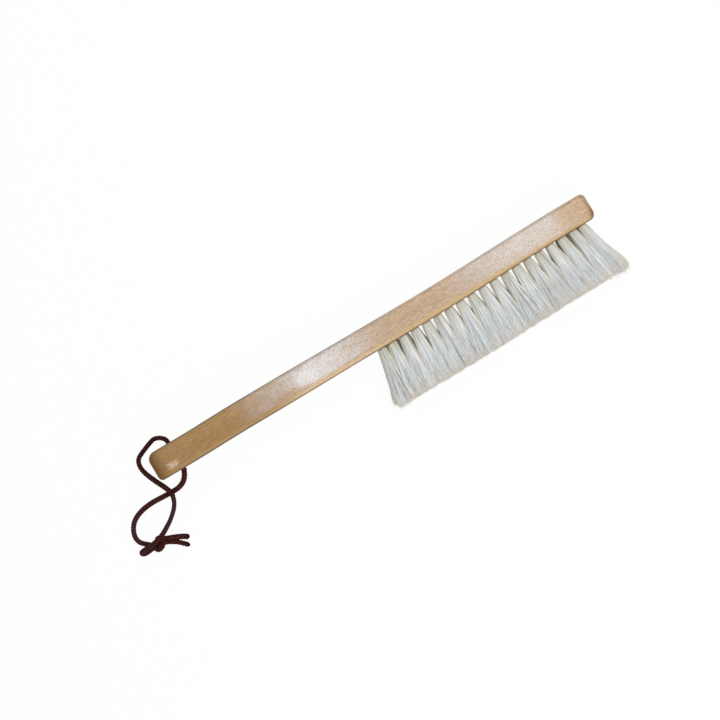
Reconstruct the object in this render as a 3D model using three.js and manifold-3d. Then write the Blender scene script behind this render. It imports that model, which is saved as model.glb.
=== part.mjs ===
// Soft hair brush with a long one-piece wooden handle and a hanging cord, lying on its broad face.
// Millimetres, +Z up. X runs along the handle from the butt, where the cord is, to the tip.
// The hair points to -Y. The origin is under the middle of the handle, on the face that it rests on.

import * as THREE from 'three';
import { mergeVertices } from 'three/addons/utils/BufferGeometryUtils.js';
import Module from 'manifold-3d';

const wasm = await Module();
wasm.setup();

// Clearances
const fit = 0.3; // between solids that touch on the real brush
const overCut = 2; // how far a cutter passes the surface that it opens
const weldDistance = 0.0001; // nearer corners of a mesh are one corner

// Rows of hair
const tuftsPerRow = 19;
const tuftPitch = 10.7; // between hole centres along a row
const frontEndNudge = 1.7; // by which the front row's first and last pitches are shorter
const backEndNudge = 1.3; // by which each of the back row's end pitches is shorter
const backEndPitches = 3; // as many at each end
const fanPitch = 11.4; // between the same tufts at the trim line
const fanShift = 1.5; // of the whole trim line towards the tip
const rowStagger = 0.8; // of the back row towards the tip
const hairLength = 48; // from the handle's lower edge to the trim line
const bulgeDrop = 2.4; // where the hair has sprung out of the hole's grip
const mergeDrop = 15; // where neighbouring tufts meet
const bulgeShare = 0.5; // of the full spread at bulgeDrop
const mergeDepthShare = 0.55; // of the full depth at mergeDrop
const floorGap = 0.5; // between the hair and the broad faces' planes
const tuftSides = 10;

// Tuft holes and the flat wire anchors that hold the folded hair in them
const holeRadius = 2.7;
const holeDepth = 14;
const rowWall = 1.6; // wood between the two rows of holes
const sideWall = 2.3; // wood between a hole and the broad face
const anchorBite = 1; // of each anchor end into the wood
const anchorHeight = 2;
const anchorThickness = 0.6;
const anchorLift = 1.4; // of the anchor above the end of the fold

// Handle
const gripLength = 205.8; // from the butt end to the first tuft
const headMargin = 11.6; // from the end of the front row to the tip
const gripWidth = 24;
const neckWidth = 22.9;
const headWidth = 22.7;
const neckAfterGrip = 90; // length over which the grip narrows to the neck
const headAfterNeck = 100; // length over which the neck runs into the head
const tipRise = 2.8; // the head bends up by this
const riseBefore = 165; // the bend starts this far from the tip
const riseLength = 150;
const buttDrop = 0.8; // the butt bends down by this
const dropLength = 55;
const dropFrom = 30; // the butt is straight again this far from its end
const edgeRound = 2.6; // round-over along all edges of the broad faces
const buttTopRadius = 7;
const buttBottomRadius = 4;
const tipTopRadius = 4.5;
const tipBottomRadius = 5.5;
const edgeSteps = 22;
const cornerSteps = 5;
const roundSteps = 3;

// Cord, its hole and its knot
const cordRadius = 2.1;
const cordSides = 8;
const cordStep = 2.2; // tube step in cord diameters
const cordHoleInset = 20; // from the butt end to the hole's axis
const cordHolePlay = 0.6; // between the cord and the hole's wall
const mouthEase = 0.8; // countersink at both mouths
const holeSides = 16;
const knotLength = 24;
const knotWidth = 12.6;
const knotHeight = 11.6;
const knotRound = 14;
const knotRings = 8;

// Sizes that follow
const rowSpacing = 2 * holeRadius + rowWall;
const thickness = rowSpacing + 2 * (holeRadius + sideWall);
const midHeight = thickness / 2;
const rootRadius = holeRadius - fit;
const rowLength = (tuftsPerRow - 1) * tuftPitch;
const handleLength = gripLength + rowLength + headMargin;
const buttX = -handleLength / 2;
const tipX = handleLength / 2;
const firstTuftX = buttX + gripLength;
const fanCentreX = firstTuftX + rowLength / 2 + fanShift;
const neckX = firstTuftX;
const cordHoleX = buttX + cordHoleInset;
const cordHoleRadius = cordRadius + cordHolePlay;

// The cord's route, chosen by hand: [along X from the hole's axis, Y, height of the centreline].
// The upper strand leaves the top edge, goes round the butt and over the lower strand to the knot.
const upperRoute = [
  [0, 7, midHeight], [0, 12.6, midHeight], [-0.6, 14.9, 8.2], [-2.6, 17.1, 7.5], [-5.6, 19, 6.6],
  [-9.2, 19.9, 5.6], [-13.6, 18.9, 4.6], [-19, 17, 3.5], [-24, 15, 2.6], [-27.4, 13.3, 2.2],
  [-29.6, 10.8, 2.2], [-30.6, 7.4, 2.2], [-30.6, 3.6, 2.2], [-29.8, -0.2, 2.2], [-28.4, -4.2, 2.2],
  [-26.6, -8.4, 2.3], [-24.6, -12.5, 3.1], [-22.2, -16.7, 4.6], [-20.2, -20.8, 6.1], [-18.7, -24.6, 6.8],
  [-19.4, -28.4, 6.2], [-21.2, -32.7, 4.8], [-24.6, -37.2, 3.3], [-28.2, -40.6, 2.6], [-32.1, -43.8, 3.2],
  [-36.2, -46.6, 5.2], [-39.8, -48.9, 7.4], [-44, -51, 8.8], [-49, -52.6, 8.6],
];
// The lower strand leaves the lower edge, passes under the upper one and swings wide to the knot.
const lowerRoute = [
  [0, -8, midHeight], [0, -13.6, midHeight], [-1.2, -16.2, 8.2], [-3.4, -19.5, 7.2], [-6.9, -22.3, 5.5],
  [-11.9, -24.1, 3.5], [-17.4, -24.5, 2.3], [-22.8, -24.4, 2.2], [-28.9, -24.1, 2.2], [-35, -23.8, 2.2],
  [-41.5, -24.1, 2.2], [-47.5, -25.1, 2.2], [-52.9, -27, 2.2], [-57.3, -29.7, 2.2], [-60.4, -33.2, 2.2],
  [-62.6, -37.4, 2.2], [-63.4, -42, 2.3], [-62.4, -46.4, 2.8], [-59.3, -49.7, 3.9], [-55.5, -52.4, 4.9],
];
const knotCentre = [-55.8, -55, 5.9];
const upperTailRoute = [
  [-47, -53.2, 4.6], [-43.5, -53.9, 4], [-40, -55.3, 3.4], [-36.6, -56.9, 2.7], [-32.3, -58.8, 2.2],
  [-28.2, -61, 2.2], [-25.5, -62.9, 2.2],
];
const lowerTailRoute = [
  [-48, -57.4, 3], [-43.8, -58.4, 2.2], [-39.7, -60.1, 2.2], [-35.8, -62.3, 2.2], [-32.9, -64.6, 2.2],
  [-30.1, -67.3, 2.2], [-28.6, -69.1, 2.2],
];

const wood = new THREE.MeshStandardMaterial({ color: 0xbd9561, roughness: 0.35, metalness: 0 });
const hair = new THREE.MeshStandardMaterial({ color: 0xd2d0c8, roughness: 0.7, metalness: 0 });
const braid = new THREE.MeshStandardMaterial({ color: 0x3a1d1a, roughness: 0.8, metalness: 0 });

const group = new THREE.Group();

function addPart(name, geometry, material) {
  const mesh = new THREE.Mesh(geometry, material);
  mesh.name = name;
  group.add(mesh);
}

// Solids for joining and cutting
function toSolid(geometry) {
  const bare = geometry.clone();
  bare.deleteAttribute('normal');
  bare.deleteAttribute('uv');
  const merged = mergeVertices(bare, weldDistance);
  const corners = merged.index.array;
  const triangles = [];
  for (let i = 0; i < corners.length; i += 3) {
    const [a, b, c] = corners.slice(i, i + 3);
    if (a !== b && b !== c && c !== a) triangles.push(a, b, c);
  }
  const vertProperties = new Float32Array(merged.attributes.position.array);
  const triVerts = new Uint32Array(triangles);
  return new wasm.Manifold(new wasm.Mesh({ numProp: 3, vertProperties, triVerts }));
}

function toGeometry(solid) {
  const mesh = solid.getMesh();
  const geometry = new THREE.BufferGeometry();
  geometry.setAttribute('position', new THREE.BufferAttribute(mesh.vertProperties, 3));
  geometry.setIndex(new THREE.BufferAttribute(mesh.triVerts, 1));
  geometry.computeVertexNormals();
  return geometry;
}

// Joins rings of points, each with as many points, into a closed solid with flat ends
function loft(rings) {
  const sides = rings[0].length;
  const positions = rings.flat().flatMap((p) => p.toArray());
  const triangles = [];
  for (let ring = 0; ring < rings.length - 1; ring += 1) {
    for (let side = 0; side < sides; side += 1) {
      const a = ring * sides + side;
      const b = ring * sides + ((side + 1) % sides);
      triangles.push(a, b, a + sides, b, b + sides, a + sides);
    }
  }
  const last = (rings.length - 1) * sides;
  for (let side = 1; side < sides - 1; side += 1) {
    triangles.push(0, side + 1, side);
    triangles.push(last, last + side, last + side + 1);
  }
  const geometry = new THREE.BufferGeometry();
  geometry.setAttribute('position', new THREE.Float32BufferAttribute(positions, 3));
  geometry.setIndex(triangles);
  geometry.computeVertexNormals();
  return geometry;
}

// Handle outline: the centre line bends a little at both ends, and the width changes along it
function rampUp(x, from, length) {
  return THREE.MathUtils.smoothstep(x, from, from + length);
}

function centreLine(x) {
  const buttBend = 1 - rampUp(x, buttX + dropFrom, dropLength);
  return tipRise * rampUp(x, tipX - riseBefore, riseLength) - buttDrop * buttBend;
}

function halfWidth(x) {
  const toNeck = rampUp(x, neckX - neckAfterGrip, neckAfterGrip);
  const toHead = rampUp(x, neckX, headAfterNeck);
  return (gripWidth + (neckWidth - gripWidth) * toNeck + (headWidth - neckWidth) * toHead) / 2;
}

function topEdge(x) {
  return centreLine(x) + halfWidth(x);
}

function bottomEdge(x) {
  return centreLine(x) - halfWidth(x);
}

function corner(x, y, radius, startQuarter) {
  const points = [];
  for (let i = 0; i <= cornerSteps; i += 1) {
    const angle = ((startQuarter + i / cornerSteps) * Math.PI) / 2;
    points.push(new THREE.Vector2(x + radius * Math.cos(angle), y + radius * Math.sin(angle)));
  }
  return points;
}

function edgePoints(edge, from, to) {
  const points = [];
  for (let i = 1; i < edgeSteps; i += 1) {
    const x = from + ((to - from) * i) / edgeSteps;
    points.push(new THREE.Vector2(x, edge(x)));
  }
  return points;
}

function handleOutline() {
  const buttBottomX = buttX + buttBottomRadius;
  const buttTopX = buttX + buttTopRadius;
  const tipBottomX = tipX - tipBottomRadius;
  const tipTopX = tipX - tipTopRadius;
  return new THREE.Shape([
    ...corner(buttBottomX, bottomEdge(buttBottomX) + buttBottomRadius, buttBottomRadius, 2),
    ...edgePoints(bottomEdge, buttBottomX, tipBottomX),
    ...corner(tipBottomX, bottomEdge(tipBottomX) + tipBottomRadius, tipBottomRadius, 3),
    ...corner(tipTopX, topEdge(tipTopX) - tipTopRadius, tipTopRadius, 0),
    ...edgePoints(topEdge, tipTopX, buttTopX),
    ...corner(buttTopX, topEdge(buttTopX) - buttTopRadius, buttTopRadius, 1),
  ]);
}

function handleBlank() {
  const blank = new THREE.ExtrudeGeometry(handleOutline(), {
    depth: thickness - 2 * edgeRound,
    bevelEnabled: true,
    bevelThickness: edgeRound,
    bevelSize: edgeRound,
    bevelOffset: -edgeRound,
    bevelSegments: roundSteps,
  });
  blank.translate(0, 0, edgeRound);
  return toSolid(blank);
}

// The cord's hole runs across the handle from edge to edge, with eased mouths
function cordHole() {
  const low = bottomEdge(cordHoleX);
  const high = topEdge(cordHoleX);
  const wide = cordHoleRadius + mouthEase + overCut;
  const profile = [
    [0, low - overCut], [wide, low - overCut], [cordHoleRadius, low + mouthEase],
    [cordHoleRadius, high - mouthEase], [wide, high + overCut], [0, high + overCut],
  ];
  const cutter = new THREE.LatheGeometry(profile.map(([r, y]) => new THREE.Vector2(r, y)), holeSides);
  cutter.translate(cordHoleX, 0, midHeight);
  return toSolid(cutter);
}

// Rows of tufts: the front row is the upper one as the brush lies, and the back row is under it
const rows = [
  { name: 'front', side: 1, shift: 0, endPitches: 1, nudge: frontEndNudge },
  { name: 'back', side: -1, shift: rowStagger, endPitches: backEndPitches, nudge: backEndNudge },
];

// A tuft's middle along X, from its hole (share 0) to the trim line (share 1)
function tuftX(row, number, share) {
  const last = tuftsPerRow - 1;
  const shorter = Math.max(row.endPitches - Math.min(number, last - number), 0);
  const inward = Math.sign(last / 2 - number);
  const hole = firstTuftX + number * tuftPitch + inward * shorter * row.nudge;
  const trim = fanCentreX + (number - last / 2) * fanPitch;
  return THREE.MathUtils.lerp(hole, trim, share) + row.shift;
}

function tuftPlace(row, number) {
  const x = tuftX(row, number, 0);
  return { number, x, edge: bottomEdge(x), z: midHeight + (row.side * rowSpacing) / 2 };
}

const anchorLength = 2 * (holeRadius + anchorBite);

// A flat wire bar across the hole, grown by a margin where it is used as a cutter
function anchorBar(place, margin) {
  const length = anchorLength + 2 * margin;
  const bar = new THREE.BoxGeometry(length, anchorHeight + 2 * margin, anchorThickness + 2 * margin);
  bar.translate(place.x, place.edge + holeDepth - fit - anchorLift - anchorHeight / 2, place.z);
  return toSolid(bar);
}

function tuftHole(place) {
  const hole = new THREE.CylinderGeometry(holeRadius, holeRadius, holeDepth + overCut, tuftSides);
  hole.translate(place.x, place.edge + (holeDepth - overCut) / 2, place.z);
  return toSolid(hole).add(anchorBar(place, fit));
}

// Half the room that a tuft has on one side: to the middle between it and its neighbour
function roomBeside(row, number, way, share) {
  const neighbour = number + way;
  const atEnd = neighbour < 0 || neighbour === tuftsPerRow;
  const other = atEnd ? number - way : neighbour;
  return (Math.abs(tuftX(row, other, share) - tuftX(row, number, share)) - fit) / 2;
}

// One section of a tuft, round in the hole and squarer towards the trim line
function tuftRing(row, place, drop, spread, depthSpread) {
  const share = Math.max(drop, 0) / hairLength;
  const inner = THREE.MathUtils.lerp(rowSpacing / 2 - rootRadius, fit / 2, depthSpread);
  const outer = THREE.MathUtils.lerp(rowSpacing / 2 + rootRadius, midHeight - floorGap, depthSpread);
  const halfDeep = (outer - inner) / 2;
  const z = midHeight + (row.side * (outer + inner)) / 2;
  const power = 1 / (1 + depthSpread);
  const points = [];
  for (let i = 0; i < tuftSides; i += 1) {
    const angle = (i * 2 * Math.PI) / tuftSides;
    const way = Math.sign(Math.cos(angle));
    const halfAlong = THREE.MathUtils.lerp(rootRadius, roomBeside(row, place.number, way, share), spread);
    const along = way * Math.abs(Math.cos(angle)) ** power;
    const deep = Math.sign(Math.sin(angle)) * Math.abs(Math.sin(angle)) ** power;
    const x = tuftX(row, place.number, share) + along * halfAlong;
    points.push(new THREE.Vector3(x, place.edge - drop, z + deep * halfDeep));
  }
  return points;
}

// The folded root with its anchor sits in the hole, and the free hair spreads from the mouth to the trim line
function tuft(row, place) {
  const body = loft([
    tuftRing(row, place, fit - holeDepth, 0, 0),
    tuftRing(row, place, 0, 0, 0),
    tuftRing(row, place, bulgeDrop, bulgeShare, bulgeShare / 2),
    tuftRing(row, place, mergeDrop, 1, mergeDepthShare),
    tuftRing(row, place, hairLength, 1, 1),
  ]);
  return toGeometry(toSolid(body).add(anchorBar(place, 0)));
}

// Cord tubes
function cordTube(points) {
  const section = new THREE.Shape();
  for (let i = 0; i < cordSides; i += 1) {
    const angle = (i * 2 * Math.PI) / cordSides;
    const x = cordRadius * Math.cos(angle);
    const y = cordRadius * Math.sin(angle);
    if (i === 0) section.moveTo(x, y);
    else section.lineTo(x, y);
  }
  const path = new THREE.CatmullRomCurve3(points);
  const steps = Math.ceil(path.getLength() / (cordStep * 2 * cordRadius));
  return new THREE.ExtrudeGeometry(section, { steps, bevelEnabled: false, extrudePath: path });
}

function routePoints(route) {
  return route.map(([x, y, z]) => new THREE.Vector3(cordHoleX + x, y, z));
}

function knotShape(margin) {
  const ball = new THREE.SphereGeometry(1, knotRound, knotRings);
  ball.scale(knotLength / 2 + margin, knotWidth / 2 + margin, knotHeight / 2 + margin);
  ball.translate(cordHoleX + knotCentre[0], knotCentre[1], knotCentre[2]);
  return ball;
}

// A strand or tail that stops short of the knot's surface
function tiedTube(points) {
  return toGeometry(toSolid(cordTube(points)).subtract(toSolid(knotShape(fit))));
}

function inHole(y) {
  return new THREE.Vector3(cordHoleX, y, midHeight);
}

const places = rows.map((row) => Array.from({ length: tuftsPerRow }, (_, number) => tuftPlace(row, number)));

let handle = handleBlank().subtract(cordHole());
for (const place of places.flat()) handle = handle.subtract(tuftHole(place));
addPart('handle', toGeometry(handle), wood);

rows.forEach((row, which) => {
  places[which].forEach((place, number) => {
    addPart(`tuft_${row.name}_${String(number + 1).padStart(2, '0')}`, tuft(row, place), hair);
  });
});

addPart('cord_upper', tiedTube([inHole(fit / 2), ...routePoints(upperRoute)]), braid);
addPart('cord_lower', tiedTube([inHole(-fit / 2), ...routePoints(lowerRoute)]), braid);
addPart('cord_knot', knotShape(0), braid);
addPart('cord_tail_upper', tiedTube(routePoints(upperTailRoute)), braid);
addPart('cord_tail_lower', tiedTube(routePoints(lowerTailRoute)), braid);

export default group;
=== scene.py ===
import math

import bpy
import numpy as np
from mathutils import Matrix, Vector


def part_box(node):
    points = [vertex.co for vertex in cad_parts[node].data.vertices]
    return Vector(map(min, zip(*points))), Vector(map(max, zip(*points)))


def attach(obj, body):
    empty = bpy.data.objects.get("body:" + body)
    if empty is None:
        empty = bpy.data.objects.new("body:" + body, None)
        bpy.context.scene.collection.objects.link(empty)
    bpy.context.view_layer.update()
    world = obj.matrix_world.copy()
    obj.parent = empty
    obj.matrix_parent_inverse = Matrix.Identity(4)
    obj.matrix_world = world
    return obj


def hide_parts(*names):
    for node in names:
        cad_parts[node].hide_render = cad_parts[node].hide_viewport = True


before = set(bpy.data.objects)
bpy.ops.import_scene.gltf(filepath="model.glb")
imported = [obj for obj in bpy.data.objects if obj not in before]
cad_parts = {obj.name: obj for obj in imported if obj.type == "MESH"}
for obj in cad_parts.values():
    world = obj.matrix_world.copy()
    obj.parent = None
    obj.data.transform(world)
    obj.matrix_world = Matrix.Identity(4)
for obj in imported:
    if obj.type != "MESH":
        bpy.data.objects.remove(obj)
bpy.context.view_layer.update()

MM = 0.001

# Handle, from the frame and the same driving sizes as its solid
handle_low, handle_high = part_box("handle")
BUTT_X = handle_low[0]
TIP_X = handle_high[0]
THICKNESS = handle_high[2] - handle_low[2]
MID_Z = THICKNESS / 2
GRIP_LENGTH = 205.8 * MM
GRIP_WIDTH = 24 * MM
NECK_WIDTH = 22.9 * MM
HEAD_WIDTH = 22.7 * MM
NECK_AFTER_GRIP = 90 * MM
HEAD_AFTER_NECK = 100 * MM
TIP_RISE = 2.8 * MM
RISE_BEFORE = 165 * MM
RISE_LENGTH = 150 * MM
BUTT_DROP = 0.8 * MM
DROP_LENGTH = 55 * MM
DROP_FROM = 30 * MM
EDGE_ROUND = 2.6 * MM
END_ROUND = 3.8 * MM  # the same round-over where it goes across the ends
BUTT_TOP_RADIUS = 7 * MM
BUTT_BOTTOM_RADIUS = 4 * MM
TIP_TOP_RADIUS = 4.5 * MM
TIP_BOTTOM_RADIUS = 5.5 * MM
NECK_X = BUTT_X + GRIP_LENGTH
HEAD_SLOPE = 0.010  # of the lower edge, from the grip to the head
EDGE_STEPS = 140
CORNER_STEPS = 14
ROUND_STEPS = 9
FACE_RIM = 0.4 * MM  # flat band that keeps the round-over's shading off the broad faces
SHARP_ANGLE = math.radians(38)
CUT_OVER = 2 * MM  # of a drill past the edge that it enters

# Tufts
TUFTS_PER_ROW = 19
TUFT_PITCH = 10.7 * MM
FRONT_END_NUDGE = 1.7 * MM
BACK_END_NUDGE = 1.3 * MM
BACK_END_PITCHES = 3
FAN_PITCH = 11.4 * MM
FAN_SHIFT = 1.5 * MM
ROW_STAGGER = 0.8 * MM
ROW_SPACING = 7 * MM
HOLE_RADIUS = 2.7 * MM
HOLE_DEPTH = 14 * MM
HOLE_SIDES = 24
HAIR_LENGTH = 48 * MM
BULGE_DROP = 0.7 * MM
BULGE_HALF = 3.95 * MM
FRONT_MERGE_DROP = 19 * MM  # where the tufts of the front row meet, and those of the back row
BACK_MERGE_DROP = 13 * MM
DEPTH_CURVE = 0.6  # power by which the two rows spread into one through the thickness
FLOOR_GAP = 0.5 * MM
FIT = 0.3 * MM
ROOT_RADIUS = HOLE_RADIUS - FIT
FIRST_TUFT_X = NECK_X
LAST_TUFT = TUFTS_PER_ROW - 1
FAN_CENTRE_X = FIRST_TUFT_X + LAST_TUFT * TUFT_PITCH / 2 + FAN_SHIFT
ANCHOR_SIZE = (7.4 * MM, 2 * MM, 0.6 * MM)
ANCHOR_LIFT = 1.4 * MM

# Hairs
HAIRS_PER_TUFT = 620
HAIR_SIDES = 3
HAIR_ROOT_RADIUS = 0.15 * MM
HAIR_TIP_RADIUS = 0.075 * MM
HAIR_DROPS = np.array([-11.5, -0.2, 0.7, 3, 7, 12, 17, 24, 31, 39, 48]) * MM
RIM_SHARE = 0.42  # power that spreads hairs towards the rim of the hole
OVERLAP = 0.8  # of a tuft into its neighbours at the trim line
SQUARENESS = 0.8  # how far a round tuft turns square at the trim line
CLUMPS = 40
CLUMP_SPREAD = 0.85  # of the tuft that holds the middles of its clumps
CLUMP_PULL = 0.4
CLUMP_WAVE = 0.4 * MM
CLUMP_TURN = 5  # radians of a clump's wave along the hair
HAIR_WAVE = 0.2 * MM
HAIR_TURNS = (3, 8)  # the least and the most radians of a hair's own wave
TIP_DRIFT = 1.1 * MM
CLUMP_DRIFT = 1.5 * MM
DRIFT_CURVE = 1.5
DRIFT_DEEP = 0.5  # of the drift, through the thickness
TRIM_JITTER = 0.5 * MM
END_JITTER = 1.1 * MM  # in the tufts at both ends of a row
TRIM_SHORT = 0.6 * MM  # of most hairs, so that the longest reach the trim line
CLUMP_JITTER = 0.8 * MM
SHORT_SHARE = 0.12
SHORTEST = 8 * MM
STRAY_SHARE = 0.02
END_STRAY_SHARE = 0.1
STRAY_LONGER = 3 * MM  # at most, in the end tufts
STRAY_REACH = 3 * MM
CLUMP_TONE = 0.12  # of a hair's tone that its clump shares
TUFT_NORMAL = 0.65  # how far a hair is lit as part of its tuft's surface
SIDE_LIGHT = 1.15  # how far the sides of a tuft turn from the light
FRONT_OUTER_LIGHT = 0.7  # more light on the outer side of each row than between the rows
BACK_OUTER_LIGHT = -0.4
TRIM_LIGHT = 1.2  # more of it towards the trim line
TRIM_FACE = 1.1  # how far the trimmed ends face along the hair
TRIM_FACE_CURVE = 6
ROW_BLEND = 1.5 * MM  # of each row into the other at the trim line
FLAT_SHARE = 0.9  # how far the tufts' rounds fade into one sheet at the trim line
UV_COLUMNS = 20
UV_MARGIN = 0.1  # of a map cell, free round each hair
UV_SPARE = 0.02  # the anchor's place in the map, inside a free margin

# The outer tufts lean out, and the trimmed row has soft corners
LEFT_ROOT_X = -0.8 * MM
LEFT_REACH = 10.2 * MM
LEFT_CURVE = 0.85
RIGHT_ROOT_X = 195 * MM
RIGHT_REACH = 16.8 * MM
RIGHT_CURVE = 1.35
PAST_SIDE = 0.3  # of the way that hair would pass the outer lines, and of the way that a stray would
STRAY_PAST = 1.0
LEFT_ROUND = 4 * MM
RIGHT_ROUND = 8 * MM

# The two rows, seen from the upper face
FRONT_ROW = {
    "name": "front", "side": 1, "shift": 0.0,
    "end_pitches": 1, "nudge": FRONT_END_NUDGE, "merge_drop": FRONT_MERGE_DROP,
    "outer_light": FRONT_OUTER_LIGHT,
}
BACK_ROW = {
    "name": "back", "side": -1, "shift": ROW_STAGGER,
    "end_pitches": BACK_END_PITCHES, "nudge": BACK_END_NUDGE, "merge_drop": BACK_MERGE_DROP,
    "outer_light": BACK_OUTER_LIGHT,
}

# Cord
CORD_RADIUS = 2.1 * MM
CORD_HOLE_X = BUTT_X + 20 * MM
CORD_HOLE_RADIUS = CORD_RADIUS + 0.6 * MM
CORD_HOLE_SIDES = 32
MOUTH_EASE = 0.8 * MM
YARNS_PER_WAY = 4
BRAID_PITCH = 9.2 * MM
YARN_WIDE = 0.8 * MM
YARN_HIGH = 0.5 * MM
YARN_WEAVE = 0.2 * MM
YARN_LAYER = YARN_HIGH + YARN_WEAVE
YARN_SIDES = 6
CORE_RADIUS = 1.25 * MM
CORE_SIDES = 8
CORD_STEP = 0.5 * MM
SPLINE_STEPS = 24  # between two points of a route, before the line is spaced evenly
# Thickness along each strand: share of the length, and times the cord's own thickness
UPPER_SWELL = [
    (0, 1.0), (0.28, 1.03), (0.34, 1.18), (0.43, 1.18), (0.5, 0.95), (0.57, 0.95), (0.64, 1.1), (0.8, 1.14),
    (0.88, 1.08), (1, 1.08),
]
LOWER_SWELL = [
    (0, 1.1), (0.08, 1.22), (0.16, 1.22), (0.25, 1.2), (0.43, 1.22), (0.52, 1.12), (0.6, 1.1), (0.68, 1.13),
    (0.84, 1.15), (0.9, 1.26), (1, 1.28),
]

# Photograph frame: a square picture, seen from straight above
PICTURE_WIDTH = 579 * MM
LENS_MM = 60
SENSOR_MM = 36
FOCUS_HEIGHT = 14.4 * MM
VIEW_CENTRE = (-17.345 * MM, -10.365 * MM)
VIEW_TURN = math.radians(-30.73)

# Floor and lights
FLOOR_SIZE = 6.0
FLOOR_DROP = 0.2 * MM
FLOOR_WHITE = (0.95, 0.95, 0.95, 1)
FLOOR_GLOW = 0.95  # of the floor that the camera sees white by itself
SKY_LIGHT = 0.45
CEILING = 0.98
# Broad soft lamps, and ceiling lamps that show as glare in the lacquer: name, place, aim, size and power
LAMPS = [
    ("key", (0.5, 0.05, 1.5), (0, 0, 0), 1.0, 8),
    ("front_fill", (0.2, -1.0, 0.7), (0.05, 0, 0), 0.8, 4),
    ("low_fill", (0.05, -1.3, 0.12), (0.05, 0, 0.01), 0.5, 2),
    ("back_fill", (0.0, 1.0, 0.9), (0, 0, 0), 0.8, 2),
    ("ceiling_middle", (-0.085, 0.0074, CEILING), (-0.05, -0.0015, 0), 0.07, 0.42),
    ("ceiling_head", (0.3125, 0.0078, CEILING), (0.148, 0, 0), 0.08, 0.22),
    ("ceiling_butt", (-0.376, 0.0038, CEILING), (-0.197, 0, 0), 0.03, 0.03),
]
DISPLAY_GAMMA = 2.2

# The cord's route: millimetres along X from the hole's axis, Y, height of the centreline
UPPER_ROUTE = [
    (0, 0, 8.5), (0, 7, 8.5), (0, 12.6, 8.5), (-0.6, 14.9, 8.2), (-2.6, 17.1, 7.5), (-5.6, 19, 6.6),
    (-9.2, 19.9, 5.6), (-13.6, 18.9, 4.6), (-19, 17, 3.5), (-24, 15, 2.6), (-27.4, 13.3, 2.2),
    (-29.6, 10.8, 2.2), (-30.6, 7.4, 2.2), (-30.6, 3.6, 2.2), (-29.8, -0.2, 2.2), (-28.4, -4.2, 2.2),
    (-26.6, -8.4, 2.3), (-24.6, -12.5, 3.1), (-22.2, -16.7, 4.6), (-20.2, -20.8, 6.1), (-18.7, -24.6, 6.8),
    (-19.4, -28.4, 6.2), (-21.2, -32.7, 4.8), (-24.6, -37.2, 3.3), (-28.2, -40.6, 2.6), (-32.1, -43.8, 3.2),
    (-36.2, -46.6, 5.2), (-39.8, -48.9, 7.2),
]
LOWER_ROUTE = [
    (0, 0, 8.5), (0, -8, 8.5), (0, -13.6, 8.5), (-1.2, -16.2, 8.2), (-3.4, -19.5, 7.2), (-6.9, -22.3, 5.5),
    (-11.9, -24.1, 3.5), (-17.4, -24.5, 2.3), (-22.8, -24.4, 2.2), (-28.9, -24.1, 2.2), (-35, -23.8, 2.2),
    (-41.5, -24.1, 2.2), (-47.5, -25.1, 2.2), (-52.9, -27, 2.2), (-57.3, -29.7, 2.2), (-60.4, -33.2, 2.2),
    (-62.6, -37.4, 2.2), (-63.4, -42, 2.3), (-62.2, -46.4, 2.6),
]
# In the knot the upper strand lies across the top to a bight and comes back underneath to its tail.
# The lower strand dives under it, wraps round the bundle and comes out beside it.
UPPER_KNOT = [
    (-43.6, -50.8, 8.8), (-47.7, -52, 9.4), (-51.8, -52.9, 9.4), (-56.3, -53.4, 8.8), (-61, -53.6, 7.3),
    (-64.3, -54.4, 5.4), (-64.6, -55.9, 3.6), (-62.1, -56.6, 2.4), (-57.6, -56.3, 2.2), (-52.7, -56, 2.2),
    (-47.9, -56.2, 2.2), (-43.8, -57.2, 2.2), (-39.7, -59.3, 2.2), (-35.8, -61.8, 2.2), (-32.9, -64.4, 2.2),
    (-30.1, -67.3, 2.2), (-28.6, -69.1, 2.2),
]
LOWER_KNOT = [
    (-59.1, -49.6, 3.4), (-55.8, -52.3, 4.4), (-53.6, -55.2, 5.2), (-52.5, -57.8, 5.8), (-51.2, -59.2, 6.4),
    (-48.9, -59.1, 7), (-46.4, -57.8, 7.4), (-44.6, -55.6, 7.2), (-44.6, -53.1, 6.2), (-46.3, -51.3, 4.8),
    (-48, -51.2, 3.6), (-47.6, -52.3, 2.5), (-44.5, -53.5, 2.3), (-41, -55.2, 2.3), (-36.6, -56.9, 2.3),
    (-32.3, -58.8, 2.2), (-28.2, -61, 2.2), (-25.5, -62.9, 2.2),
]


def linear(red, green, blue):
    """A colour given as 0 to 255, as the shader's linear values."""
    parts = (np.array([red, green, blue]) / 255) ** DISPLAY_GAMMA
    return (*[float(v) for v in parts], 1.0)


# Camera
def make_camera():
    data = bpy.data.cameras.new("camera")
    data.lens = LENS_MM
    data.sensor_width = SENSOR_MM
    camera = bpy.data.objects.new("camera", data)
    bpy.context.scene.collection.objects.link(camera)
    distance = PICTURE_WIDTH * LENS_MM / SENSOR_MM
    camera.location = (*VIEW_CENTRE, FOCUS_HEIGHT + distance)
    camera.rotation_euler = (0, 0, VIEW_TURN)
    bpy.context.scene.camera = camera


# Meshes
def new_object(name, vertices, faces):
    mesh = bpy.data.meshes.new(name)
    mesh.from_pydata([tuple(v) for v in vertices], [], faces)
    mesh.update()
    thing = bpy.data.objects.new(name, mesh)
    bpy.context.scene.collection.objects.link(thing)
    return thing


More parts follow.
